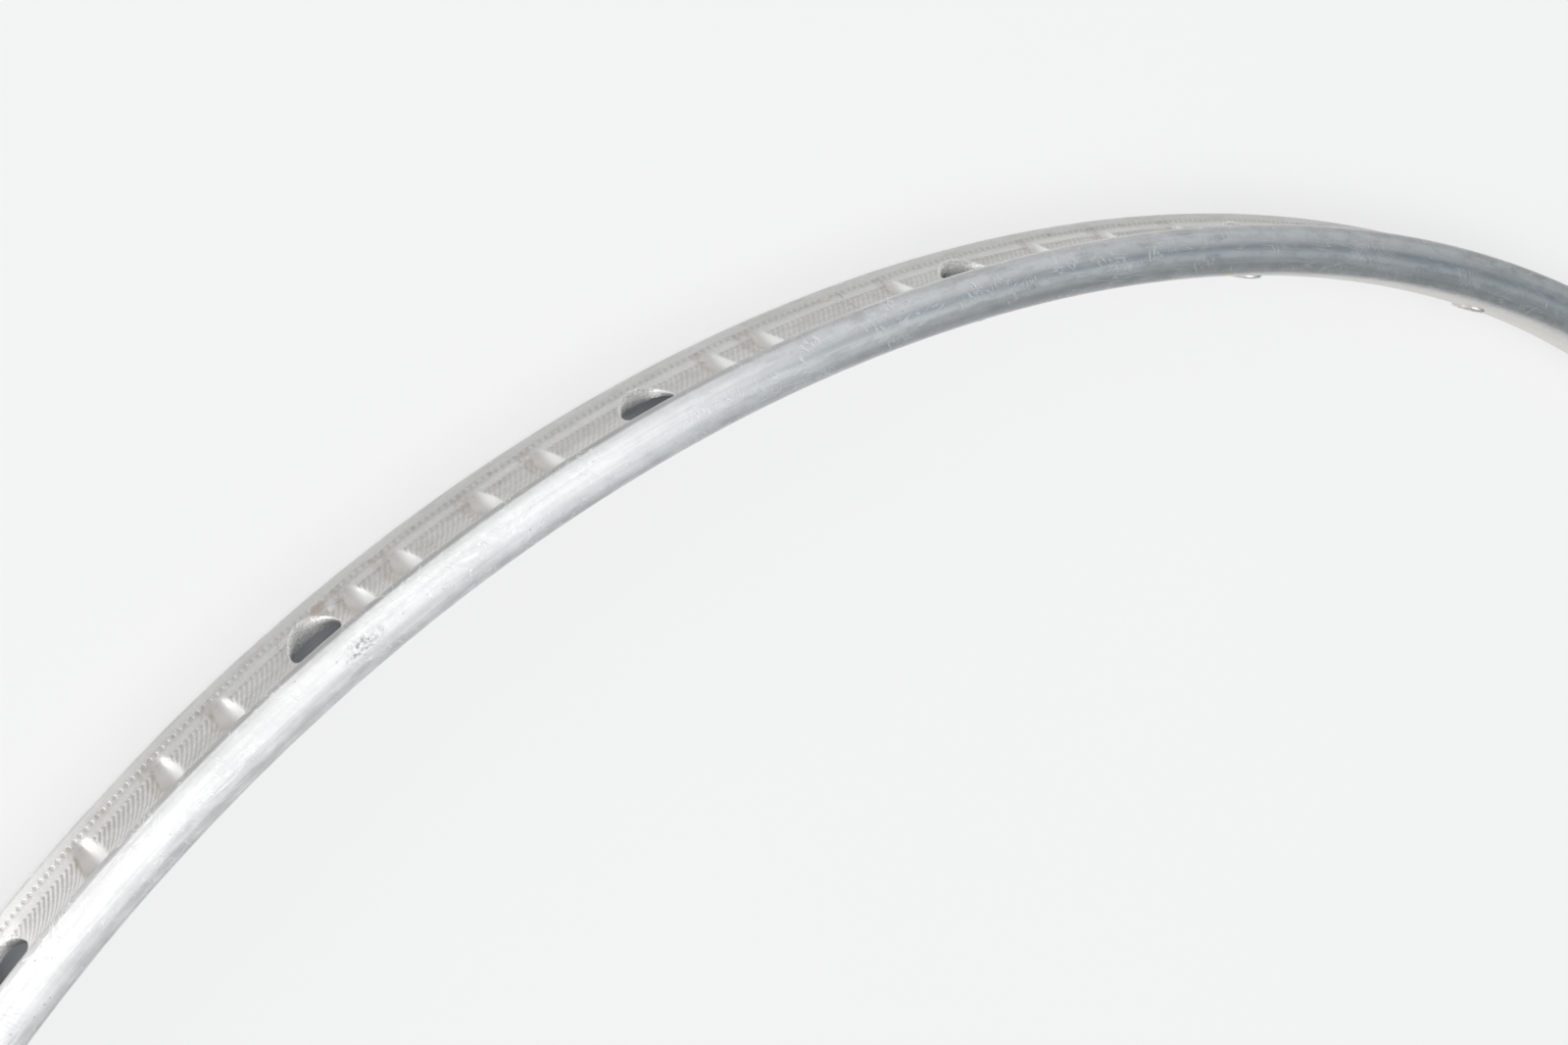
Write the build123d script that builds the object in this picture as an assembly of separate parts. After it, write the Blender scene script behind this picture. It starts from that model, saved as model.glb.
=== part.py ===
"""Hollow aluminium racing rim for glued tyres, lying on its side.

Millimetres, +Z up. The rim's axis is +Z and its lower side rests at Z = 0.
The valve hole points along +X, and the joint of the rolled hoop lies at -X.
"""
from build123d import *
from math import degrees, radians, sqrt, tan
import os

# Outline of the extruded section, given where its sharp edges would meet
LIP_DIAMETER = 632.8
LIP_SPACING = 16.9
BED_DEPTH = 3.3
OVERALL_WIDTH = 19.8
BULGE_DROP = 5.2
SECTION_HEIGHT = 11.7
CORNER_SPACING = 17.2
FACE_CROWN = 1.5
LIP_ROUNDING = 0.8
CORNER_ROUNDING = 2.2

# Walls of the hollow section
BED_WALL = 1.2
SIDE_WALL = 1.1
SPOKE_WALL = 1.5

# Holes: an access hole is punched, so its edge is drawn into the hollow as a collar
SPOKE_COUNT = 28
ACCESS_HOLE = 9.8
MOUTH_FLARE = 30.0
MOUTH_DEPTH = 0.5
COLLAR_WALL = 0.9
COLLAR_DEPTH = 1.35
SPOKE_HOLE = 5.6
VALVE_HOLE = 6.5

# Dents punched across the tyre bed: their places in four gaps between access holes,
# as shares of the gap, which repeat around the rim
DENT_PLACES = ((0.29, 0.48, 0.72, 0.86), (0.26, 0.45, 0.70), (0.22, 0.48, 0.73), (0.20, 0.62, 0.77))
DENT_LENGTH = 11.8
DENT_WIDTH = 4.4
DENT_DEPTH = 0.8

# Eyelets that line the spoke holes
EYELET_BORE = 4.3
EYELET_FIT = 0.05
EYELET_FLANGE = 7.2
EYELET_FLANGE_HEIGHT = 0.45
EYELET_CHAMFER = 0.3
EYELET_FLARE = 7.0
EYELET_FLARE_HEIGHT = 0.6

# Sleeve inside the joint of the hoop
SLEEVE_LENGTH = 52.0
SLEEVE_FIT = 0.05
SLEEVE_WALL = 1.5

# Values that follow from the sizes above
LIP_RADIUS = LIP_DIAMETER / 2
FACE_RADIUS = LIP_RADIUS - SECTION_HEIGHT
VALLEY_RADIUS = LIP_RADIUS - BED_DEPTH
WIDE_RADIUS = LIP_RADIUS - BULGE_DROP
HOLLOW_MIDDLE = (FACE_RADIUS + VALLEY_RADIUS) / 2
SPOKE_PITCH = 360 / SPOKE_COUNT
SPOKE_ANGLES = [(index + 0.5) * SPOKE_PITCH for index in range(SPOKE_COUNT)]
# A tool that starts inside the hollow reaches this far past the wall it cuts
CUT_PAST = 3.0


def arc_radius(half_chord, depth):
    """Radius of the arc that is this deep over its chord."""
    return (half_chord**2 + depth**2) / (2 * depth)


def rise(across, half_chord, depth):
    """How far such an arc stands off its middle, at a distance from there."""
    radius = arc_radius(half_chord, depth)
    return radius - sqrt(radius**2 - across**2)


def bed_rise(across):
    """How far the tyre bed stands over its valley."""
    return rise(across, LIP_SPACING / 2, BED_DEPTH)


def face_rise(across):
    """How far the spoke face falls back from its crown, towards the bed."""
    return rise(across, CORNER_SPACING / 2, FACE_CROWN)


def outline(bed_wall=0.0, side_wall=0.0, spoke_wall=0.0):
    """The section with sharp corners on the XZ plane, or the one inside it by each wall's thickness."""
    lip_half = LIP_SPACING / 2 - side_wall
    valley = VALLEY_RADIUS - bed_wall
    lip = valley + bed_rise(lip_half)
    wide_half = OVERALL_WIDTH / 2 - side_wall
    corner_half = CORNER_SPACING / 2 - side_wall
    face = FACE_RADIUS + spoke_wall
    corner = face + face_rise(corner_half)
    with BuildSketch(Plane.XZ) as sketch:
        with BuildLine():
            ThreePointArc((lip, -lip_half), (valley, 0), (lip, lip_half))
            ThreePointArc((lip, lip_half), (WIDE_RADIUS, wide_half), (corner, corner_half))
            ThreePointArc((corner, corner_half), (face, 0), (corner, -corner_half))
            ThreePointArc((corner, -corner_half), (WIDE_RADIUS, -wide_half), (lip, -lip_half))
        make_face()
    return sketch.sketch


def outer_section():
    """The extrusion's outer outline, with rounded lips and corners."""
    lips_round = fillet(outline().vertices().sort_by(Axis.X)[-2:], LIP_ROUNDING)
    return fillet(lips_round.vertices().sort_by(Axis.X)[:2], CORNER_ROUNDING)


def hollow_section(fit=0.0):
    """The hollow's outline, or one that lies inside it by the same distance all round."""
    return outline(BED_WALL + fit, SIDE_WALL + fit, SPOKE_WALL + fit)


def swept(section, arc=360.0):
    """A section turned about the rim's axis, over an arc that is centred on +X."""
    return Rot(0, 0, -arc / 2) * revolve(section, Axis.Z, arc)


def radial_drill(diameter, start, end):
    """A drill along +X, between two distances from the rim's axis."""
    return Pos((start + end) / 2, 0, 0) * Rot(0, 90, 0) * Cylinder(diameter / 2, end - start)


def turned(shape, angles):
    """Copies of a shape, turned about the rim's axis."""
    return [Rot(0, 0, angle) * shape for angle in angles]


def dent_punch():
    """A disc with a round edge, which dents the bed across the rim at +X."""
    along = arc_radius(DENT_WIDTH / 2, DENT_DEPTH)
    across = arc_radius(DENT_LENGTH / 2, DENT_DEPTH + bed_rise(DENT_LENGTH / 2))
    centre = VALLEY_RADIUS - DENT_DEPTH + across
    return Pos(centre, 0, 0) * Rot(90, 0, 0) * Torus(across - along, along)


def dent_angles():
    """Where the dents are: each gap takes the next list of places."""
    return [
        first + place * SPOKE_PITCH
        for gap, first in enumerate(SPOKE_ANGLES)
        for place in DENT_PLACES[gap % len(DENT_PLACES)]
    ]


def access_punch():
    """A round punch along +X: straight in the collar, and flared at its mouth in the bed."""
    half = ACCESS_HOLE / 2
    mouth = VALLEY_RADIUS - MOUTH_DEPTH
    past_lip = LIP_RADIUS + CUT_PAST
    flare = half + (past_lip - mouth) * tan(radians(MOUTH_FLARE))
    straight = [(mouth, half), (HOLLOW_MIDDLE, half), (HOLLOW_MIDDLE, 0)]
    with BuildSketch(Plane.XZ) as sketch:
        with BuildLine():
            Polyline((past_lip, 0), (past_lip, flare), *straight, close=True)
        make_face()
    return revolve(sketch.sketch, Axis.X)


def rim_hoop():
    """The rolled hollow extrusion, with its access holes, spoke holes, valve hole and dents."""
    past_lip = LIP_RADIUS + CUT_PAST
    past_face = FACE_RADIUS - CUT_PAST
    collar = radial_drill(ACCESS_HOLE + 2 * COLLAR_WALL, VALLEY_RADIUS - COLLAR_DEPTH, past_lip)
    hollow = swept(hollow_section()) - turned(collar, SPOKE_ANGLES)
    spoke = radial_drill(SPOKE_HOLE, past_face, HOLLOW_MIDDLE)
    valve = radial_drill(VALVE_HOLE, past_face, past_lip)
    tools = turned(access_punch(), SPOKE_ANGLES) + turned(spoke, SPOKE_ANGLES) + [valve]
    tools += turned(dent_punch(), dent_angles())
    return swept(outer_section()) - hollow - tools


def eyelet():
    """One eyelet at +X: a flange on the spoke face, a barrel through the wall, a flare in the hollow."""
    flange_end = FACE_RADIUS - EYELET_FLANGE_HEIGHT
    wall_top = FACE_RADIUS + SPOKE_WALL
    flare_half = EYELET_FLARE / 2
    flare_seat = wall_top + face_rise(flare_half)
    flange = radial_drill(EYELET_FLANGE, flange_end, wall_top)
    flange = chamfer(flange.edges().sort_by(Axis.X)[0], EYELET_CHAMFER)
    flange -= swept(outer_section(), degrees(2 * EYELET_FLANGE / FACE_RADIUS))
    barrel_half = SPOKE_HOLE / 2 - EYELET_FIT
    barrel = radial_drill(2 * barrel_half, flange_end + EYELET_CHAMFER, flare_seat)
    flare = Pos(flare_seat + EYELET_FLARE_HEIGHT / 2, 0, 0) * Rot(0, 90, 0) * Cone(
        flare_half, barrel_half, EYELET_FLARE_HEIGHT
    )
    bore = radial_drill(EYELET_BORE, flange_end - CUT_PAST, flare_seat + CUT_PAST)
    return flange + barrel + flare - bore


def joint_sleeve():
    """A short tube that fills the hollow on both sides of the hoop's joint."""
    wall = hollow_section(SLEEVE_FIT) - hollow_section(SLEEVE_FIT + SLEEVE_WALL)
    return Rot(0, 0, 180) * swept(wall, degrees(SLEEVE_LENGTH / VALLEY_RADIUS))


lift = Pos(0, 0, outer_section().bounding_box().max.Z)
nodes = {
    "rim_hoop": lift * rim_hoop(),
    "spoke_eyelets": Compound(turned(lift * eyelet(), SPOKE_ANGLES)),
    "joint_sleeve": lift * joint_sleeve(),
}
os.makedirs("parts", exist_ok=True)
for name, shape in nodes.items():
    export_step(shape, f"parts/{name}.step")
    box = shape.bounding_box()
    print(name, "solids", len(shape.solids()), "volume", round(shape.volume, 1), "size", box.size)
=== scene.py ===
# %% [markdown]
# A racing rim for glued tyres is one long aluminium tube, drawn through a die, rolled into a
# hoop and joined end to end. Holes are then drilled through its bed, and the bed is dented so
# that the glue holds. We follow the same order: draw the section, roll it, drill it, dent it.
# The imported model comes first, because every piece has to lie where its solids lie.

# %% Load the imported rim
import bisect
import bmesh
import bpy
import math
import random
from mathutils import Matrix, Vector, noise


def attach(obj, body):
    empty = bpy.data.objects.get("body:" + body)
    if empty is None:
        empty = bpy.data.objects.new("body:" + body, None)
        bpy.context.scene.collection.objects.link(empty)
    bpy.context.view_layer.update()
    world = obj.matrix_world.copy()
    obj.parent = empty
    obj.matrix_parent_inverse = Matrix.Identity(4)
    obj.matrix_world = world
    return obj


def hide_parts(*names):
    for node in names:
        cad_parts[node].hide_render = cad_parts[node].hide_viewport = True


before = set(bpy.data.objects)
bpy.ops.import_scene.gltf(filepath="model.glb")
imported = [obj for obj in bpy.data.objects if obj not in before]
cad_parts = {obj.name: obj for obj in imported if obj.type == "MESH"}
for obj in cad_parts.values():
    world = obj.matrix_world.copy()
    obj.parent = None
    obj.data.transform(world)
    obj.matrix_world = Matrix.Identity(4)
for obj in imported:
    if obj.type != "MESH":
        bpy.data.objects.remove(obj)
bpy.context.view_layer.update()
MM = 0.001

# %% [markdown]
# The photograph was taken from close by, above the rim and a little outside it, so that both
# the bed and one side show. A camera is placed by a point, a line of sight and an upward
# direction. The three make a turning matrix, which is less guesswork than turning by angles.

# %% Camera
CAMERA_PLACE = Vector((-278.15, 390.71, 346.32)) * MM
CAMERA_LOOK = Vector((0.49168, -0.29538, -0.81914))
CAMERA_UP = Vector((0.16947, 0.95518, -0.24271))
CAMERA_LENS = 51.3

camera_data = bpy.data.cameras.new("camera")
camera_data.lens = CAMERA_LENS
camera_data.sensor_width = 36
camera_data.clip_start = 0.01
camera = bpy.data.objects.new("camera", camera_data)
bpy.context.collection.objects.link(camera)
camera_right = CAMERA_LOOK.cross(CAMERA_UP).normalized()
camera_up = camera_right.cross(CAMERA_LOOK)
camera_turn = Matrix((camera_right, camera_up, -CAMERA_LOOK.normalized())).transposed()
camera.matrix_world = Matrix.Translation(CAMERA_PLACE) @ camera_turn.to_4x4()
bpy.context.scene.camera = camera
print("camera stands", round(CAMERA_PLACE.length, 3), "m from the rim's centre")

# %% [markdown]
# Shader sums are long when every node is made by hand. One small class holds a socket and
# turns Python's own signs into Math nodes, so that a pattern reads like a formula. Its make
# method adds any other node: first its settings, then the values or links of its sockets.


# %% Sums on sockets
class Flow:
    """One output socket of a node tree, which takes part in sums."""

    def __init__(self, tree, socket):
        self.tree = tree
        self.socket = socket

    def make(self, kind, settings=None, out=0, **inputs):
        """Adds a node and returns the output that is asked for."""
        node = self.tree.nodes.new(kind)
        for name, value in (settings or {}).items():
            setattr(node, name, value)
        for name, value in inputs.items():
            self.feed(find_input(node, name), value)
        return Flow(self.tree, node.outputs[out])

    def feed(self, socket, value):
        """Links a flow to a socket, or sets the socket's own value."""
        if isinstance(value, Flow):
            self.tree.links.new(value.socket, socket)
        else:
            socket.default_value = value

    def sum(self, operation, *values):
        """Adds one Math node over up to three values."""
        node = self.tree.nodes.new("ShaderNodeMath")
        node.operation = operation
        for socket, value in zip(node.inputs, values):
            self.feed(socket, value)
        return Flow(self.tree, node.outputs[0])

    def __add__(self, other):
        return self.sum("ADD", self, other)

    def __radd__(self, other):
        return self.sum("ADD", other, self)

    def __sub__(self, other):
        return self.sum("SUBTRACT", self, other)

    def __rsub__(self, other):
        return self.sum("SUBTRACT", other, self)

    def __mul__(self, other):
        return self.sum("MULTIPLY", self, other)

    def __rmul__(self, other):
        return self.sum("MULTIPLY", other, self)

    def __truediv__(self, other):
        return self.sum("DIVIDE", self, other)

    def __rtruediv__(self, other):
        return self.sum("DIVIDE", other, self)

    def __abs__(self):
        return self.sum("ABSOLUTE", self)

    def wave(self, pitch):
        """A wave between 0 and 1 that repeats with this pitch."""
        return self.sum("SINE", self * (2 * math.pi / pitch)) * 0.5 + 0.5

    def step(self, low, high):
        """Rises smoothly from 0 at the low value to 1 at the high one."""
        node = {"interpolation_type": "SMOOTHSTEP"}
        names = {"From Min": low, "From Max": high}
        return self.make("ShaderNodeMapRange", node, Value=self, **names)

    def band(self, low, high, soft):
        """One between two values, with soft edges, and nothing outside them."""
        return self.step(low - soft, low + soft) * (1 - self.step(high - soft, high + soft))

    def clouds(self, vector, scale, detail=3.0, roughness=0.55):
        """Noise between 0 and 1 over a vector."""
        return self.make(
            "ShaderNodeTexNoise", Vector=vector, Scale=scale, Detail=detail, Roughness=roughness
        )

    def vector(self, x, y, z):
        """Three flows or numbers as one vector."""
        return self.make("ShaderNodeCombineXYZ", X=x, Y=y, Z=z)

    def tint(self, mask, low, high):
        """Blends two colours by a mask."""
        settings = {"data_type": "RGBA"}
        return self.make("ShaderNodeMix", settings, out=2, Factor=mask, A=low, B=high)


def find_input(node, name):
    """The enabled input of that name: a Mix node has several that share one."""
    for socket in node.inputs:
        if socket.name == name and socket.enabled:
            return socket
    raise KeyError(name)


def new_finish(name):
    """A material with an empty principled shader; returns it, its shader and a first flow."""
    finish = bpy.data.materials.new(name)
    finish.use_nodes = True
    tree = finish.node_tree
    shader = tree.nodes["Principled BSDF"]
    place = tree.nodes.new("ShaderNodeTexCoord")
    return finish, shader, Flow(tree, place.outputs["Object"])


print("the shader sums are ready")

# %% [markdown]
# The ground in the picture is almost white, with hardly a shadow. A wide pale floor gets part
# of its brightness from a little glow of its own, as a light table does, so that the rim's
# shadow stays faint.

# %% Floor
FLOOR_HALF = 4.0
FLOOR_TONES = ((0.30, 0.30, 0.302, 1), (0.32, 0.32, 0.32, 1))
FLOOR_GLOW = 0.62

floor_mesh = bpy.data.meshes.new("floor")
bm = bmesh.new()
bmesh.ops.create_grid(bm, x_segments=8, y_segments=8, size=FLOOR_HALF)
bm.to_mesh(floor_mesh)
bm.free()
floor = bpy.data.objects.new("floor", floor_mesh)
bpy.context.collection.objects.link(floor)
floor_finish, floor_shader, here = new_finish("pale_floor")
paper = here.clouds(here, 3.0)
here.feed(floor_shader.inputs["Base Color"], here.tint(paper, *FLOOR_TONES))
floor_shader.inputs["Roughness"].default_value = 0.9
floor_shader.inputs["Specular IOR Level"].default_value = 0.1
floor_shader.inputs["Emission Color"].default_value = (1, 1, 1, 1)
floor_shader.inputs["Emission Strength"].default_value = FLOOR_GLOW
floor_mesh.materials.append(floor_finish)
print("floor is", 2 * FLOOR_HALF, "m wide")

# %% [markdown]
# Bright metal shows its surroundings, so the sky shades the rim's curves. It is white overhead,
# darker near the horizon and bluer to the right. Two soft lights, one overhead and one like a
# window at the left, brighten the part of the rim that is nearest to them.

# %% Sky and lights
SKY_STRENGTH = 0.62

world = bpy.data.worlds.new("studio")
world.use_nodes = True
bpy.context.scene.world = world
sky_node = world.node_tree.nodes.new("ShaderNodeTexCoord")
sky = Flow(world.node_tree, sky_node.outputs["Generated"])
to_right, to_back, height = (
    sky.make("ShaderNodeSeparateXYZ", out=axis, Vector=sky) for axis in range(3)
)
blue_side = to_right.step(-0.3, 0.7)
low_sky = sky.tint(blue_side, (0.62, 0.62, 0.62, 1), (0.26, 0.285, 0.30, 1))
back_sky = sky.tint(blue_side, (0.40, 0.40, 0.41, 1), (1.10, 1.12, 1.13, 1))
low_sky = sky.tint(to_back.step(0.0, 0.6) * 0.8, low_sky, (0.95, 0.95, 0.95, 1))
high_sky = sky.tint(blue_side, (1.0, 1.0, 1.0, 1), (0.58, 0.67, 0.74, 1))
high_sky = sky.tint(to_back.step(-0.2, 0.35) * 0.75, high_sky, back_sky)
background = world.node_tree.nodes["Background"]
sky.feed(background.inputs["Color"], sky.tint(height.step(0.2, 0.9), low_sky, high_sky))
background.inputs["Strength"].default_value = SKY_STRENGTH


def soft_light(name, place, target, width, watts):
    """A soft square of light that shines from a place towards a target."""
    data = bpy.data.lights.new(name, "AREA")
    data.shape = "SQUARE"
    data.size = width
    data.energy = watts
    light = bpy.data.objects.new(name, data)
    bpy.context.collection.objects.link(light)
    light.location = place
    aim = Vector(target) - Vector(place)
    light.rotation_euler = aim.to_track_quat("-Z", "Y").to_euler()


soft_light("overhead", (-0.05, 0.05, 1.6), (-0.1, 0.15, 0), 1.5, 12)
soft_light("window", (-2.1, 0.85, 0.6), (-0.1, 0.3, 0), 1.3, 14)
bpy.context.scene.view_settings.view_transform = "Standard"
print("sky and", len(bpy.data.lights), "soft lights are set")

# %% [markdown]
# The section is drawn where the tube would be cut, on the plane of the rim's axis. All its
# sides are arcs, so each of them is known by its middle, its ends and how deep it is.

# %% The section's sizes
LIP_RADIUS = 316.4
LIP_HALF = 8.45
BED_DEPTH = 3.3
WIDE_RADIUS = 311.2
WIDE_HALF = 9.9
FACE_RADIUS = 304.7
FACE_CROWN = 1.5
CORNER_HALF = 8.6
LIP_ROUNDING = 0.8
CORNER_ROUNDING = 2.2
HOLLOW_ROUNDING = 0.5
BED_WALL = 1.2
SIDE_WALL = 1.1
SPOKE_WALL = 1.5
MID_HEIGHT = 9.9
VALLEY_RADIUS = LIP_RADIUS - BED_DEPTH
HOLLOW_MIDDLE = (FACE_RADIUS + VALLEY_RADIUS) / 2


def arc_radius(half_chord, depth):
    """Radius of the arc that is this deep over its chord."""
    return (half_chord**2 + depth**2) / (2 * depth)


BED_ARC = arc_radius(LIP_HALF, BED_DEPTH)
FACE_ARC = arc_radius(CORNER_HALF, FACE_CROWN)


def bed_level(across, wall=0.0):
    """Distance of the bed, or of the wall's other side, from the rim's axis."""
    return VALLEY_RADIUS - wall + BED_ARC - math.sqrt(BED_ARC**2 - across**2)


def face_level(across, wall=0.0):
    """Distance of the spoke face, or of the wall's other side, from the rim's axis."""
    return FACE_RADIUS + wall + FACE_ARC - math.sqrt(FACE_ARC**2 - across**2)


print("bed arc", round(BED_ARC, 2), "mm, spoke face arc", round(FACE_ARC, 2), "mm")

# %% [markdown]
# Small arcs round the lips and the corners. A rounding touches both of its neighbours, so its
# centre is where two circles cross: that is less work than cutting corners off a mesh, and it
# gives the same outline at any step count.


# %% The section's arcs
def circle_through(a, b, c):
    """Centre and radius of the circle through three points of the section."""
    first = Vector((b[0] - a[0], b[1] - a[1]))
    second = Vector((c[0] - a[0], c[1] - a[1]))
    cross = 2 * (first.x * second.y - first.y * second.x)
    x = (second.y * first.length_squared - first.y * second.length_squared) / cross
    y = (first.x * second.length_squared - second.x * first.length_squared) / cross
    return Vector((a[0] + x, a[1] + y)), math.hypot(x, y)


def circles_meet(centre, radius, other, other_radius, near):
    """The crossing of two circles that lies nearer to a point."""
    line = other - centre
    along = (line.length_squared + radius**2 - other_radius**2) / (2 * line.length)
    aside = math.sqrt(radius**2 - along**2)
    foot = centre + line.normalized() * along
    normal = Vector((-line.y, line.x)).normalized()
    return min(foot + normal * aside, foot - normal * aside, key=lambda p: (p - near).length)


def section_arcs(bed_wall, side_wall, spoke_wall, lip_round, corner_round):
    """The arcs of the upper half of the section, from the bed's middle to the face's."""
    lip_half = LIP_HALF - side_wall
    lip = Vector((bed_level(lip_half, bed_wall), lip_half))
    corner_half = CORNER_HALF - side_wall
    corner = Vector((face_level(corner_half, spoke_wall), corner_half))
    side, side_radius = circle_through(lip, (WIDE_RADIUS, WIDE_HALF - side_wall), corner)
    bed = Vector((VALLEY_RADIUS - bed_wall + BED_ARC, 0))
    face = Vector((FACE_RADIUS + spoke_wall + FACE_ARC, 0))
    lip_centre = circles_meet(bed, BED_ARC + lip_round, side, side_radius - lip_round, lip)
    corner_centre = circles_meet(
        side, side_radius - corner_round, face, FACE_ARC - corner_round, corner
    )
    bed_end = lip_centre + (bed - lip_centre).normalized() * lip_round
    side_start = lip_centre + (lip_centre - side).normalized() * lip_round
    side_end = corner_centre + (corner_centre - side).normalized() * corner_round
    face_start = corner_centre + (corner_centre - face).normalized() * corner_round
    return {
        "bed": (bed, Vector((VALLEY_RADIUS - bed_wall, 0)), bed_end),
        "lip": (lip_centre, bed_end, side_start),
        "side": (side, side_start, side_end),
        "corner": (corner_centre, side_end, face_start),
        "face": (face, face_start, Vector((FACE_RADIUS + spoke_wall, 0))),
    }


def turn_between(centre, start, end):
    """Angle from one point to another about a centre, the short way round."""
    a = math.atan2(start.y - centre.y, start.x - centre.x)
    b = math.atan2(end.y - centre.y, end.x - centre.x)
    return (b - a + math.pi) % (2 * math.pi) - math.pi


outer_arcs = section_arcs(0, 0, 0, LIP_ROUNDING, CORNER_ROUNDING)
hollow_arcs = section_arcs(BED_WALL, SIDE_WALL, SPOKE_WALL, HOLLOW_ROUNDING, HOLLOW_ROUNDING)
for name, (centre, start, end) in outer_arcs.items():
    print(name, "from", tuple(round(c, 2) for c in start), "to", tuple(round(c, 2) for c in end))

# %% [markdown]
# Rolling a section into a hoop is a spin about the rim's axis. An even spin would waste faces
# on the plain runs and starve the dents, so the ring is spun stretch by stretch: short steps
# at each hole and dent, long ones between. The gaps that the camera sees get the most.
# The spin starts and ends at the joint, opposite the valve, just where the real hoop does.

# %% Where the holes and the dents are
SPOKE_COUNT = 28
PITCH = 2 * math.pi / SPOKE_COUNT
ACCESS_RADIUS = 4.9
SPOKE_HOLE_RADIUS = 2.8
VALVE_RADIUS = 3.25
# Places of the dents in four gaps between access holes, as shares of the gap
DENT_PLACES = (
    (0.29, 0.48, 0.72, 0.86), (0.26, 0.45, 0.70), (0.22, 0.48, 0.73), (0.20, 0.62, 0.77)
)
DENT_REACH = 2.9
HOLE_REACH = 6.6
VALVE_REACH = 4.4
HOLE_STEPS = 10
VALVE_STEPS = 6
NEAR_GAPS = range(4, 11)
NEAR_DENT_STEPS = 16
FAR_DENT_STEPS = 7

hole_angles = [(index + 0.5) * PITCH for index in range(SPOKE_COUNT)]
dent_angles = [
    hole_angles[gap] + place * PITCH
    for gap in range(SPOKE_COUNT)
    for place in DENT_PLACES[gap % len(DENT_PLACES)]
]


def dent_steps(angle):
    """Columns over one dent: more in the gaps that the camera sees."""
    gap = math.floor(angle / PITCH - 0.5)
    return NEAR_DENT_STEPS if gap in NEAR_GAPS else FAR_DENT_STEPS


def wrapped(angle):
    """The same angle between one half turn back and one half turn on."""
    return (angle + math.pi) % (2 * math.pi) - math.pi


def stretches(stations, longest):
    """Angles and step counts, from the joint round to the joint."""
    def plain_run(angle):
        return angle, max(1, math.ceil(angle * VALLEY_RADIUS / longest))

    reached = -math.pi
    runs = []
    for centre, reach, steps in sorted((wrapped(a), r / VALLEY_RADIUS, n) for a, r, n in stations):
        runs.append(plain_run(centre - reach - reached))
        runs.append((2 * reach, steps))
        reached = centre + reach
    return runs + [plain_run(math.pi - reached)]


hole_stations = [(angle, HOLE_REACH, HOLE_STEPS) for angle in hole_angles]
hole_stations.append((0.0, VALVE_REACH, VALVE_STEPS))
dent_stations = [(angle, DENT_REACH, dent_steps(angle)) for angle in dent_angles]
print(len(hole_angles), "access holes and", len(dent_angles), "dents")

# %% [markdown]
# Each arc of an outline is one vertex, spun about the arc's centre, which gives as many short
# edges as the arc needs. The outer wall and the hollow are two closed outlines. The rows across
# the bed are spaced so that a square of faces can be taken out for each hole.

# %% Draw the outlines
SQUARE_HALF = 6.6
SQUARE_ROWS = 14
FACE_SQUARE_HALF = 3.96
FACE_SQUARE_ROWS = 6


def spin_point(bm, vert, centre, turn, steps):
    """Spins a vertex of the section about a centre and returns the last vertex."""
    made = bmesh.ops.spin(
        bm, geom=[vert], cent=(centre.x, 0, centre.y), axis=(0, -1, 0), angle=turn, steps=steps
    )
    return next(item for item in made["geom_last"] if isinstance(item, bmesh.types.BMVert))


def draw_section(bm, arcs, lip_steps, side_steps, corner_steps, edge_steps):
    """The whole closed outline, drawn as one chain of spun vertices."""
    bed, bed_middle, bed_end = arcs["bed"]
    face, face_start, face_middle = arcs["face"]
    bed_radius = (bed_middle - bed).length
    face_radius = (face_middle - face).length
    bed_turn = abs(turn_between(bed, bed_middle, bed_end))
    square_turn = math.asin(SQUARE_HALF / bed_radius)
    face_turn = abs(turn_between(face, face_start, face_middle))
    face_square_turn = math.asin(FACE_SQUARE_HALF / face_radius)
    vert = bm.verts.new((bed_end.x, 0, -bed_end.y))
    vert = spin_point(bm, vert, bed, -(bed_turn - square_turn), edge_steps)
    vert = spin_point(bm, vert, bed, -2 * square_turn, SQUARE_ROWS)
    vert = spin_point(bm, vert, bed, -(bed_turn - square_turn), edge_steps)
    for name, steps in (("lip", lip_steps), ("side", side_steps), ("corner", corner_steps)):
        centre, start, end = arcs[name]
        vert = spin_point(bm, vert, centre, turn_between(centre, start, end), steps)
    vert = spin_point(bm, vert, face, face_turn - face_square_turn, edge_steps)
    vert = spin_point(bm, vert, face, 2 * face_square_turn, FACE_SQUARE_ROWS)
    vert = spin_point(bm, vert, face, face_turn - face_square_turn, edge_steps)
    for name, steps in (("corner", corner_steps), ("side", side_steps), ("lip", lip_steps)):
        centre, start, end = (Vector((p.x, -p.y)) for p in arcs[name])
        vert = spin_point(bm, vert, centre, turn_between(centre, end, start), steps)
    bmesh.ops.remove_doubles(bm, verts=bm.verts[:], dist=0.001)


print("an outline has", SQUARE_ROWS, "rows at an access hole")

# %% [markdown]
# Each outline is spun by itself. The turns of many short spins add up to a full one only nearly,
# so the two ends of the joint are merged over a small distance.

# %% Roll the hoop
LONGEST_STEP = 6.5
LONGEST_HOLLOW_STEP = 13
JOINT_MERGE = 0.02


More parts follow.
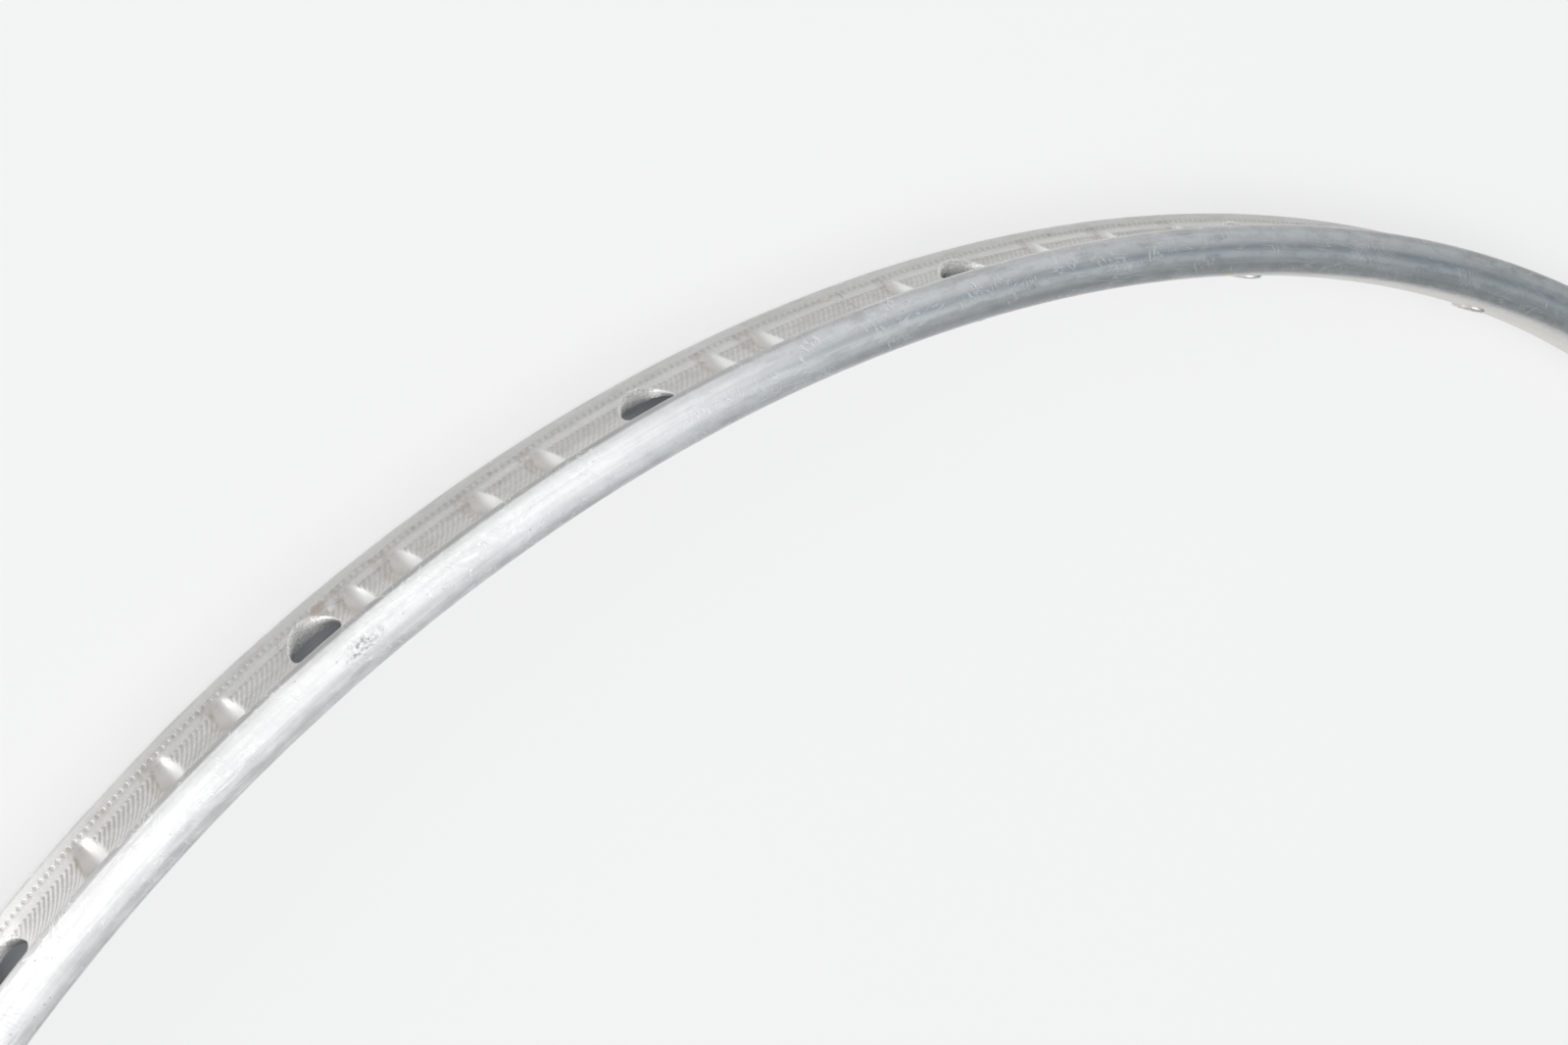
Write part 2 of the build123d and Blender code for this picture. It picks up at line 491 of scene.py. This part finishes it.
def roll(arcs, runs, **steps):
    """Spins a section round the rim's axis, stretch by stretch, and closes the joint."""
    bm = bmesh.new()
    draw_section(bm, arcs, **steps)
    to_joint = Matrix.Rotation(-math.pi, 3, "Z")
    bmesh.ops.rotate(bm, verts=bm.verts[:], cent=(0, 0, 0), matrix=to_joint)
    geom = bm.verts[:] + bm.edges[:]
    for angle, count in runs:
        made = bmesh.ops.spin(
            bm, geom=geom, cent=(0, 0, 0), axis=(0, 0, 1), angle=angle, steps=count
        )
        geom = made["geom_last"]
    bmesh.ops.remove_doubles(bm, verts=bm.verts[:], dist=JOINT_MERGE)
    return bm


hoop = roll(
    outer_arcs, stretches(hole_stations + dent_stations, LONGEST_STEP),
    lip_steps=4, side_steps=4, corner_steps=3, edge_steps=2,
)
hollow = roll(
    hollow_arcs, stretches(hole_stations, LONGEST_HOLLOW_STEP),
    lip_steps=1, side_steps=2, corner_steps=1, edge_steps=1,
)
print("outer wall:", len(hoop.faces), "faces, hollow:", len(hollow.faces), "faces")

# %% [markdown]
# A hole is round, and the rows and columns are not. We take a square of faces out of the wall,
# extrude its edge and lay the new edge on a circle. The new vertices are sorted around the hole
# and spread evenly, so that the square turns into the circle without a twist.

# %% Open a square and lay a ring
VALVE = -1
VALVE_SQUARE_HALF = 4.8
SQUARE_MARGIN = 0.05
RING_START = 0.01


def hole_angle(number):
    """Where a hole is around the rim: the valve hole has a number of its own."""
    return 0.0 if number == VALVE else hole_angles[number]


def beside(point, angle):
    """How far a point lies along the rim from the axis of a hole."""
    return point.y * math.cos(angle) - point.x * math.sin(angle)


def find_squares(bm):
    """The faces to take out at each hole, by wall and number."""
    squares = {}
    for face in bm.faces:
        centre = face.calc_center_median()
        on_bed = math.hypot(centre.x, centre.y) > HOLLOW_MIDDLE
        around = math.atan2(centre.y, centre.x) % (2 * math.pi)
        number = round(around / PITCH - 0.5) % SPOKE_COUNT
        reach, half = FACE_SQUARE_HALF, FACE_SQUARE_HALF
        if on_bed:
            reach, half = HOLE_REACH, SQUARE_HALF
        near = abs(beside(centre, hole_angles[number])) < reach - SQUARE_MARGIN
        if abs(wrapped(around)) * VALLEY_RADIUS < VALVE_REACH:
            number, near = VALVE, True
            half = VALVE_SQUARE_HALF if on_bed else FACE_SQUARE_HALF
        if near and abs(centre.z) < half - SQUARE_MARGIN:
            squares.setdefault((on_bed, number), []).append(face)
    return squares


def open_square(bm, faces):
    """Takes the faces out and returns the edges around the gap."""
    inside = set(faces)
    edges = dict.fromkeys(edge for face in faces for edge in face.edges)
    border = [edge for edge in edges if sum(face in inside for face in edge.link_faces) == 1]
    bmesh.ops.delete(bm, geom=faces, context="FACES")
    return border


def of_kind(items, kind):
    """Of the items that an operator made, the ones of one kind."""
    return [item for item in items if isinstance(item, kind)]


def next_ring(bm, edges, angle, place):
    """Extrudes the edges and lays the new ones where place says, by the angle around the hole."""
    made = bmesh.ops.extrude_edge_only(bm, edges=edges)["geom"]
    ring = of_kind(made, bmesh.types.BMVert)
    ring.sort(
        key=lambda v: (math.atan2(v.co.z, beside(v.co, angle)) + RING_START) % (2 * math.pi)
    )
    for index, vert in enumerate(ring):
        aside, across, level = place(2 * math.pi * index / len(ring))
        out = math.sqrt(level**2 - aside**2)
        vert.co.x = out * math.cos(angle) - aside * math.sin(angle)
        vert.co.y = out * math.sin(angle) + aside * math.cos(angle)
        vert.co.z = across
    border = [edge for edge in of_kind(made, bmesh.types.BMEdge) if len(edge.link_faces) == 1]
    return border, of_kind(made, bmesh.types.BMFace)


hoop_squares = find_squares(hoop)
hollow_squares = find_squares(hollow)
print("squares to open:", len(hoop_squares), "outside and", len(hollow_squares), "in the hollow")

# %% [markdown]
# The access holes were punched, so their edges are drawn in: a rounded mouth, and a short collar
# that ends in a torn edge inside the hollow. A smooth noise around each hole tears it, with
# another seed for each hole, because no two tear alike. The other holes are plain circles.

# %% Rings of a punched hole
MOUTH_DEPTH = 0.5
MOUTH_SLOPE = math.tan(math.radians(30))
MOUTH_SHARES = (0, 0.3, 0.6, 1)
COLLAR_DEPTH = 1.35
COLLAR_RADIUS = ACCESS_RADIUS + 0.9
TORN_WALL = 0.3


def circle(radius, level):
    """A function that lays a ring on a plain circle."""
    def place(around):
        across = radius * math.sin(around)
        return radius * math.cos(around), across, level(across)

    return place


def ragged(around, seed, waves):
    """An uneven value around a hole, with this many waves or so."""
    return noise.noise(Vector((waves * math.cos(around), waves * math.sin(around), seed)))


def mouth_edge(around):
    """Where the flare of the mouth runs out on the bed: its radius and level."""
    radius = ACCESS_RADIUS
    for _ in range(12):
        level = bed_level(radius * math.sin(around))
        radius = ACCESS_RADIUS + (level - VALLEY_RADIUS + MOUTH_DEPTH) * MOUTH_SLOPE
    return radius, level


def mouth(share, seed):
    """A ring on the rounded mouth, from the bed at 0 to the straight collar at 1."""
    turn = share * math.pi / 2
    low = VALLEY_RADIUS - MOUTH_DEPTH

    def place(around):
        radius, level = mouth_edge(around)
        rough = 0.10 * ragged(around, seed, 2.5) + 0.05 * ragged(around, seed + 5, 8)
        size = ACCESS_RADIUS + (radius - ACCESS_RADIUS) * (1 - math.sin(turn)) + rough * share
        end = low + (level - low) * math.cos(turn)
        return size * math.cos(around), size * math.sin(around), end

    return place


def collar(wall, seed, short):
    """A ring on the collar's torn edge, this far out into its wall and this much short."""
    def place(around):
        torn = 0.28 * ragged(around, seed, 1.6) + 0.22 * ragged(around, seed + 5, 6)
        rough = 0.10 * ragged(around, seed + 9, 5)
        size = ACCESS_RADIUS + wall + rough
        end = VALLEY_RADIUS - COLLAR_DEPTH + short + torn
        return size * math.cos(around), size * math.sin(around), end

    return place


print("a mouth's edge is up to", round(mouth_edge(math.pi / 2)[0], 2), "mm from the hole's axis")

# %% [markdown]
# Each hole is a list of rings, from its edge on the outer wall to the inside of the wall. The
# hollow gets the same last circle on its side, so that the two meet there and merge into one
# closed skin. Faces past the first ring are cut metal and get their own finish.

# %% Drill the holes
ALLOY_FINISH, INSIDE_FINISH, CUT_FINISH = range(3)


def ceiling(across):
    """The hollow's side of the bed."""
    return bed_level(across, BED_WALL)


def hollow_floor(across):
    """The hollow's side of the spoke face."""
    return face_level(across, SPOKE_WALL)


def first_rings(on_bed, number):
    """The rings of a hole, apart from the last one."""
    if number == VALVE:
        return [circle(VALVE_RADIUS, bed_level if on_bed else face_level)]
    if not on_bed:
        return [circle(SPOKE_HOLE_RADIUS, face_level)]
    seed = 3.7 * number
    short = 0.2 + 0.3 * math.sin(2.6 * number)
    rings = [mouth(share, seed) for share in MOUTH_SHARES]
    return rings + [collar(0, seed, short), collar(TORN_WALL, seed, short)]


def last_ring(on_bed, number):
    """The circle where a hole's wall meets the hollow."""
    if number == VALVE:
        return circle(VALVE_RADIUS, ceiling if on_bed else hollow_floor)
    if on_bed:
        return circle(COLLAR_RADIUS, ceiling)
    return circle(SPOKE_HOLE_RADIUS, hollow_floor)


for (on_bed, number), faces in sorted(hoop_squares.items()):
    edges = open_square(hoop, faces)
    rings = first_rings(on_bed, number) + [last_ring(on_bed, number)]
    for index, place in enumerate(rings):
        edges, new_faces = next_ring(hoop, edges, hole_angle(number), place)
        for face in new_faces:
            face.material_index = CUT_FINISH if index > 0 else ALLOY_FINISH
for (on_bed, number), faces in sorted(hollow_squares.items()):
    edges = open_square(hollow, faces)
    next_ring(hollow, edges, hole_angle(number), last_ring(on_bed, number))
for face in hollow.faces:
    face.material_index = INSIDE_FINISH
print("drilled", len(hole_angles), "access holes, as many spoke holes and one valve hole")

# %% [markdown]
# The dents were punched across the bed with a disc that has a round edge. Each vertex of the
# bed that lies under a disc moves in until it touches the disc. The edge is eased a little,
# because metal bends before it breaks, and each blow was a little different.

# %% Punch the dents
DENT_LENGTH = 11.8
DENT_WIDTH = 4.9
DENT_DEPTH = 0.8
EASE = 0.05
BED_HALF = 7
OUTSIDE_DENTS = 9.0
SKIN_MERGE = 0.0005
blows = random.Random(91)


def punch(length, width, depth):
    """A function that gives the disc's surface at a place in the dent."""
    along = arc_radius(width / 2, depth)
    rise = bed_level(length / 2) - VALLEY_RADIUS
    across = arc_radius(length / 2, depth + rise)
    centre = VALLEY_RADIUS - depth + across

    def surface(s, z):
        rim = across - along + math.sqrt(max(along**2 - s**2, 0))
        return centre - math.sqrt(max(rim**2 - z**2, 0))

    return surface


dents = sorted(
    (
        wrapped(angle),
        punch(
            DENT_LENGTH * blows.uniform(0.97, 1.03),
            DENT_WIDTH * blows.uniform(0.95, 1.05),
            DENT_DEPTH * blows.uniform(0.95, 1.1),
        ),
    )
    for angle in dent_angles
)
hollow_mesh = bpy.data.meshes.new("hollow")
hollow.to_mesh(hollow_mesh)
hoop.from_mesh(hollow_mesh)
hollow.free()
bpy.data.meshes.remove(hollow_mesh)
bmesh.ops.remove_doubles(hoop, verts=hoop.verts[:], dist=SKIN_MERGE)
dent_layer = hoop.verts.layers.float.new("dent")
aside_layer = hoop.verts.layers.float.new("aside")
moved = 0
for vert in hoop.verts:
    around = math.atan2(vert.co.y, vert.co.x)
    distance = math.hypot(vert.co.x, vert.co.y)
    vert[aside_layer] = OUTSIDE_DENTS
    if abs(vert.co.z) > BED_HALF or distance < bed_level(vert.co.z) - 0.02:
        continue
    after = bisect.bisect(dents, (around,)) % len(dents)
    pair = (dents[after - 1], dents[after])
    angle, surface = min(pair, key=lambda dent: abs(wrapped(dent[0] - around)))
    aside = wrapped(around - angle) * VALLEY_RADIUS
    vert[aside_layer] = aside
    if abs(aside) > DENT_REACH:
        continue
    over = distance - surface(aside, vert.co.z)
    depth = 0.5 * (over + math.sqrt(over**2 + EASE**2)) - 0.5 * EASE
    if depth > 0.001:
        vert[dent_layer] = min(depth / DENT_DEPTH, 1.0)
        vert.co.x -= depth * math.cos(around)
        vert.co.y -= depth * math.sin(around)
        moved += 1
print("moved", moved, "vertices into", len(dents), "dents")

# %% [markdown]
# The hoop is now one skin. It is lifted so that its lower side rests on the floor, turned from
# millimetres into metres, and its normals are made to point out of the metal. Edges that turn
# sharply stay crisp, and all the others are smooth.

# %% The finished hoop
SHARP_TURN = math.radians(42)
bmesh.ops.translate(hoop, verts=hoop.verts[:], vec=(0, 0, MID_HEIGHT))
bmesh.ops.scale(hoop, verts=hoop.verts[:], vec=(MM, MM, MM))
bmesh.ops.recalc_face_normals(hoop, faces=hoop.faces[:])
for face in hoop.faces:
    face.smooth = True
for edge in hoop.edges:
    if len(edge.link_faces) == 2 and edge.calc_face_angle() > SHARP_TURN:
        edge.smooth = False
open_edges = sum(1 for edge in hoop.edges if len(edge.link_faces) != 2)
hoop_mesh = bpy.data.meshes.new("hoop")
hoop.to_mesh(hoop_mesh)
hoop.free()
hoop_object = bpy.data.objects.new("hoop", hoop_mesh)
bpy.context.collection.objects.link(hoop_object)
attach(hoop_object, "root")
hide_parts("rim_hoop")
triangles = sum(len(face.vertices) - 2 for face in hoop_mesh.polygons)
print("hoop:", triangles, "triangles,", open_edges, "open edges")

# %% [markdown]
# Everything on the rim runs round its axis, so the finishes need their own coordinates: how far
# a place lies around the rim, how far from the axis, and how far from the middle plane. All
# three come from the object's own coordinates, in millimetres, and slide nowhere when the
# camera moves. The seam of the angle falls on the hoop's joint.


# %% Coordinates for the finishes
def rim_places(here):
    """Around, from the axis, and across, in millimetres."""
    x = here.make("ShaderNodeSeparateXYZ", out=0, Vector=here)
    y = here.make("ShaderNodeSeparateXYZ", out=1, Vector=here)
    z = here.make("ShaderNodeSeparateXYZ", out=2, Vector=here)
    around = here.sum("ARCTAN2", y, x) * VALLEY_RADIUS
    out = here.sum("SQRT", x * x + y * y) * 1000
    return around, out, z * 1000 - MID_HEIGHT


def draw_lines(here, around, out, across, length, width):
    """Long faint streaks, as a die leaves them."""
    return here.clouds(here.vector(around / length, out / width, across / width), 1.0)


def scratches(here, around, out, across, turn, length, width, rarity):
    """Thin marks along one direction: the contour of a stretched noise, broken by another."""
    along = around * math.cos(turn) + out * math.sin(turn)
    aside = out * math.cos(turn) - around * math.sin(turn)
    field = here.clouds(here.vector(along / length, aside / width, across / width), 1.0, 1.0)
    line = 1 - abs(field - 0.5).step(0.006, 0.022)
    rare = here.clouds(here.vector(around / 9, out / 5, across / 5 + turn * 7), 1.0, 1.0)
    return line * rare.step(rarity, rarity + 0.06)


def spot(here, around, other, place, size):
    """A soft mark at one place: an angle in degrees, and a distance outward or across."""
    angle, distance = place
    aside = (around - math.radians(angle) * VALLEY_RADIUS) / size[0]
    up = (other - distance) / size[1]
    return 1 - here.sum("SQRT", aside * aside + up * up).step(0.35, 1.0)


def layered(here, colour, layers):
    """Lays colours over one another: each has a mask, a strength and a colour."""
    for mask, strength, tone in layers:
        colour = here.tint(mask * strength, colour, tone)
    return colour


print("finishes measure around, outward and across in millimetres")

# %% [markdown]
# The sides are drawn aluminium that has been handled for years. They show streaks from the die,
# fine marks across them, dull clouds, pits and scratches. Each is a noise on the rim's own
# coordinates: stretched along the rim it makes streaks, and its contour makes a scratch.

# %% Wear on the sides
SCRATCHES = (
    (0.9, 7, 1.1, 0.56), (-0.5, 9, 1.3, 0.58), (0.1, 16, 1.0, 0.54), (1.4, 5, 1.0, 0.57)
)

alloy, alloy_shader, here = new_finish("worn_alloy")
around, out, across = rim_places(here)
whole = here.vector(around, out, across)
long_lines = draw_lines(here, around, out, across, 70, 1.1)
fine_lines = draw_lines(here, around, out, across, 22, 0.22)
cross_lines = here.clouds(here.vector(around / 0.9, out / 5, across / 5), 1.0, 4.0, 0.7)
clouds = here.clouds(here.vector(around / 14, out / 4, across / 4), 1.0, 4.0)
patches = here.clouds(here.vector(around / 5, out / 2.2, across / 2.2), 1.0, 5.0, 0.65)
grain = here.clouds(whole, 2.6, 3.0)
speckle = here.clouds(whole, 1.3, 5.0, 0.7)
pits = here.make("ShaderNodeTexVoronoi", Vector=whole, Scale=0.55)
pits = (1 - pits.step(0.05, 0.12)) * clouds.step(0.45, 0.6)
marks = scratches(here, around, out, across, *SCRATCHES[0])
for more in SCRATCHES[1:]:
    marks = here.sum("MAXIMUM", marks, scratches(here, around, out, across, *more))
print("wear uses", len(alloy.node_tree.nodes), "nodes")

# %% [markdown]
# Over the wear lie marks that keep to a place: on one half of the rim a painted reflection, a
# bluish line along the widest part between two painted highlights, with painted shade along the
# lower edge; on the other half painted shade along the lip; and a few smudges. Each is a mask
# between 0 and 1, and the colour, the gloss and the bump share the masks.

# %% Colours of the sides
LINES_FADE = [math.radians(angle) * VALLEY_RADIUS for angle in (98, 110)]

right_part = 1 - around.step(*LINES_FADE)
# Painted reflection: a bluish band along the widest part of the side, on one half only.
blue_reflection_band = out.band(311.3, 312.4, 0.6) * patches.step(0.3, 0.6) * right_part
# Painted highlights: two pale bands on either side of that reflection, on one half only.
highlight_bands = here.sum("MAXIMUM", out.band(309.8, 310.7, 0.4), out.band(313.3, 315.0, 0.5))
highlight_bands = highlight_bands * patches.step(0.3, 0.6) * right_part
# Painted shade: a darker band along the lower edge of the side, on one half only.
low_edge_shade = out.band(307.2, 308.6, 0.5) * right_part
spoke_face = 1 - out.step(305.2, 306.2)
# Painted shade: a darker band along the lip, on the other half of the rim.
lip_shade = out.step(315.3, 315.55) * across.step(7.4, 7.9) * (1 - right_part)
smudge = spot(here, around, out, (121.3, 311.6), (5.5, 2.0)) * speckle.step(0.46, 0.62)
smudge = here.sum("MAXIMUM", smudge, spot(here, around, out, (121.7, 308.4), (4.0, 0.8)) * 0.6)
beige = spot(here, around, out, (85.9, 306.4), (2.2, 0.8))

side_tone = long_lines * 0.3 + fine_lines * 0.12 + clouds * 0.2
side_tone = (side_tone + patches * 0.3 + cross_lines * 0.08).step(0.35, 0.65)
side_colour = here.tint(side_tone, (0.645, 0.645, 0.642, 1), (0.905, 0.90, 0.895, 1))
side_colour = layered(here, side_colour, (
    # The bluish band is a painted reflection, the pale bands are painted highlights, and the low
    # edge and the lip are painted shade.
    (blue_reflection_band, 0.75, (0.48, 0.53, 0.58, 1)),
    (highlight_bands, 0.8, (0.97, 0.98, 0.985, 1)),
    (low_edge_shade, 0.3, (0.50, 0.50, 0.50, 1)),
    (spoke_face, 0.7, (0.90, 0.86, 0.80, 1)),
    (lip_shade, 0.5, (0.40, 0.40, 0.395, 1)),
    (smudge, 0.5, (0.36, 0.36, 0.36, 1)),
    (pits, 0.5, (0.3, 0.29, 0.28, 1)),
    (marks, 0.6, (0.98, 0.98, 0.98, 1)),
    (beige, 0.6, (0.74, 0.68, 0.56, 1)),
))
side_rough = 0.28 + patches * 0.16 + speckle * 0.14 + smudge * 0.15
side_height = fine_lines * 0.012 + long_lines * 0.012 + cross_lines * 0.003 + speckle * 0.010
side_height = side_height - marks * 0.012 - pits * 0.03
print("sides use", len(alloy.node_tree.nodes), "nodes")

# %% [markdown]
# The bed is duller, with old glue in it. It is rolled with fine slanting lines in its middle, a
# smooth band beside them, and a row of pits near each lip. These are finer than any sensible
# mesh, so they are bump. A wave gives lines, and a distance from the nearest point gives dots.

# %% Pattern of the bed
KNURL_PITCH = 1.1
KNURL_SLANT = -0.6
DOT_PITCH = 1.33
DOT_ROW = 6.35

off_middle = abs(across)
on_bed = out.step(309.0, 310.0) * (1 - off_middle.step(7.7, 8.0))
knurl = (around + across * KNURL_SLANT).wave(KNURL_PITCH)
knurl_zone = 1 - off_middle.step(3.9, 4.3)
from_row = off_middle - DOT_ROW
from_dot = here.sum("PINGPONG", around, DOT_PITCH / 2)
dots = 1 - here.sum("SQRT", from_dot * from_dot + from_row * from_row).step(0.25, 0.5)
smooth_zone = off_middle.band(4.4, 5.7, 0.3)
edge_dots = around.wave(KNURL_PITCH).step(0.3, 0.8) * off_middle.band(4.0, 4.4, 0.15)
print("knurl pitch", KNURL_PITCH, "mm, dot pitch", DOT_PITCH, "mm")

# %% [markdown]
# In a dent the tool has pressed the metal smoother. One flank is painted bright as a highlight
# and the other darker as painted shade, and glue stays on one flank of it. The mesh carries two
# attributes for this: how deep a place is dented, and how far it lies from the middle of its
# dent. Crumbs of glue lie at a few places of their own.

# %% Colours of the bed
dent = here.make("ShaderNodeAttribute", {"attribute_name": "dent"}, out=2).step(0.02, 0.3)
flank = here.make("ShaderNodeAttribute", {"attribute_name": "aside"}, out=2)
# Painted highlight: the flank on one side of each dent is painted bright.
lit_flank = 1 - flank.step(-1.5, 0.5)
glued_flank = flank.band(0.9, 2.9, 0.7) * speckle.step(0.35, 0.6)
glue = here.clouds(here.vector(around / 5, across / 3, out), 1.0, 4.0).step(0.5, 0.72)
residue = spot(here, around, across, (121.4, -5.7), (2.6, 1.2)) * speckle.step(0.3, 0.5)
chip = spot(here, around, across, (121.1, -4.0), (1.0, 0.8))
blob = spot(here, around, across, (101.45, -6.0), (1.1, 0.6))

bed_tone = (clouds * 0.3 + grain * 0.25 + long_lines * 0.2 + speckle * 0.25).step(0.36, 0.64)
bed_colour = here.tint(bed_tone, (0.67, 0.66, 0.642, 1), (0.865, 0.86, 0.845, 1))
# The dents' colour: painted shade on one flank, painted highlight on the other.
dent_light_and_shade = here.tint(lit_flank, (0.66, 0.64, 0.61, 1), (0.97, 0.97, 0.965, 1))
bed_colour = layered(here, bed_colour, (
    (smooth_zone, 0.4, (0.88, 0.88, 0.875, 1)),
    (off_middle.step(5.6, 7.0), 0.5, (0.92, 0.92, 0.915, 1)),
    (dots, 0.24, (0.38, 0.38, 0.37, 1)),
    (edge_dots * speckle.step(0.3, 0.6), 0.3, (0.42, 0.39, 0.34, 1)),
    (knurl_zone * knurl, 0.22, (0.40, 0.39, 0.37, 1)),
    (glue * (1 - smooth_zone), 0.2, (0.50, 0.46, 0.39, 1)),
    (glued_flank, 0.45, (0.46, 0.39, 0.30, 1)),
    # Painted highlight and painted shade on the dents' flanks.
    (dent, 0.9, dent_light_and_shade),
    (residue, 0.7, (0.56, 0.47, 0.38, 1)),
    (chip, 0.8, (0.97, 0.97, 0.96, 1)),
    (blob, 0.8, (0.85, 0.79, 0.66, 1)),
))
bed_rough = 0.42 + grain * 0.12 - dent * 0.16 - smooth_zone * 0.06
bed_height = knurl_zone * knurl * -0.045 - dots * 0.035 - edge_dots * 0.03
bed_height = bed_height * (1 - dent) + grain * 0.01 + glue * 0.012 + residue * 0.15 + blob * 0.15
print("bed and sides use", len(alloy.node_tree.nodes), "nodes")

# %% [markdown]
# Now the two finishes meet at the lips, and the hoop's joint, opposite the valve, is a hairline
# across everything. Drawn metal has a gloss of its own: fine streaks spread each reflection
# across them, so a bright band shows where a plain gloss would show a small spot. The shader
# calls this anisotropic, and a quarter turn sets it across the streaks.

# %% Alloy of the hoop
JOINT_HALF = 0.05
HALF_ROUND = math.pi * VALLEY_RADIUS
STREAK_GLOSS = 0.85
ACROSS_STREAKS = 0.25

joint = abs(around).step(HALF_ROUND - 2 * JOINT_HALF, HALF_ROUND - JOINT_HALF)
colour = here.tint(joint * 0.8, here.tint(on_bed, side_colour, bed_colour), (0.12, 0.12, 0.12, 1))
here.feed(alloy_shader.inputs["Base Color"], colour)
here.feed(alloy_shader.inputs["Roughness"], side_rough + on_bed * (bed_rough - side_rough))
alloy_shader.inputs["Metallic"].default_value = 1.0
alloy_shader.inputs["Anisotropic"].default_value = STREAK_GLOSS
alloy_shader.inputs["Anisotropic Rotation"].default_value = ACROSS_STREAKS
height = side_height + on_bed * (bed_height - side_height) - joint * 0.1
bump = here.make("ShaderNodeBump", Height=height, Strength=1.0, Distance=MM)
here.feed(alloy_shader.inputs["Normal"], bump)
hoop_mesh.materials.append(alloy)
print("worn alloy has", len(alloy.node_tree.nodes), "nodes")

# %% [markdown]
# Inside the hollow the metal is as the die left it: clean, streaked and out of the light. The
# walls of the drilled holes are fresh cuts, bright and torn by the drill.

# %% Hollow and cut metal
inner, inner_shader, here = new_finish("drawn_inside")
around, out, across = rim_places(here)
inner_lines = draw_lines(here, around, out, across, 60, 0.8)
inner_tone = inner_lines.step(0.3, 0.7)
here.feed(
    inner_shader.inputs["Base Color"],
    here.tint(inner_tone, (0.86, 0.89, 0.92, 1), (0.93, 0.95, 0.97, 1)),
)
here.feed(inner_shader.inputs["Roughness"], 0.38 + inner_lines * 0.15)
inner_shader.inputs["Metallic"].default_value = 0.3
hoop_mesh.materials.append(inner)

cut, cut_shader, here = new_finish("drilled_cut")
around, out, across = rim_places(here)
torn = here.clouds(here.vector(around, out * 2.5, across), 2.2, 5.0, 0.65)
here.feed(
    cut_shader.inputs["Base Color"],
    here.tint(torn.step(0.35, 0.65), (0.62, 0.61, 0.60, 1), (0.97, 0.965, 0.955, 1)),
)
here.feed(cut_shader.inputs["Roughness"], 0.2 + torn * 0.2)
cut_shader.inputs["Metallic"].default_value = 1.0
here.feed(
    cut_shader.inputs["Normal"],
    here.make("ShaderNodeBump", Height=torn * 0.12, Strength=1.0, Distance=MM),
)
hoop_mesh.materials.append(cut)
print("hoop has", len(hoop_mesh.materials), "finishes")

# %% [markdown]
# The eyelets and the joint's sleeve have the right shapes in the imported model, so they keep
# them. They only need finishes: plated steel, a little dull, and plain drawn aluminium.

# %% Eyelets and sleeve
plated, plated_shader, here = new_finish("plated_steel")
around, out, across = rim_places(here)
dull = here.clouds(here.vector(around, out, across), 0.9, 4.0)
here.feed(
    plated_shader.inputs["Base Color"],
    here.tint(dull.step(0.35, 0.7), (0.80, 0.79, 0.77, 1), (0.62, 0.60, 0.57, 1)),
)
here.feed(plated_shader.inputs["Roughness"], 0.34 + dull * 0.2)
plated_shader.inputs["Metallic"].default_value = 1.0

drawn, drawn_shader, here = new_finish("drawn_sleeve")
around, out, across = rim_places(here)
sleeve_lines = draw_lines(here, around, out, across, 40, 0.6)
here.feed(
    drawn_shader.inputs["Base Color"],
    here.tint(sleeve_lines.step(0.3, 0.7), (0.60, 0.60, 0.61, 1), (0.76, 0.76, 0.76, 1)),
)
here.feed(drawn_shader.inputs["Roughness"], 0.3 + sleeve_lines * 0.15)
drawn_shader.inputs["Metallic"].default_value = 1.0

for node_name, finish in (("spoke_eyelets", plated), ("joint_sleeve", drawn)):
    for piece_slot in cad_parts[node_name].material_slots:
        piece_slot.material = finish
    print(node_name, "is finished in", finish.name)
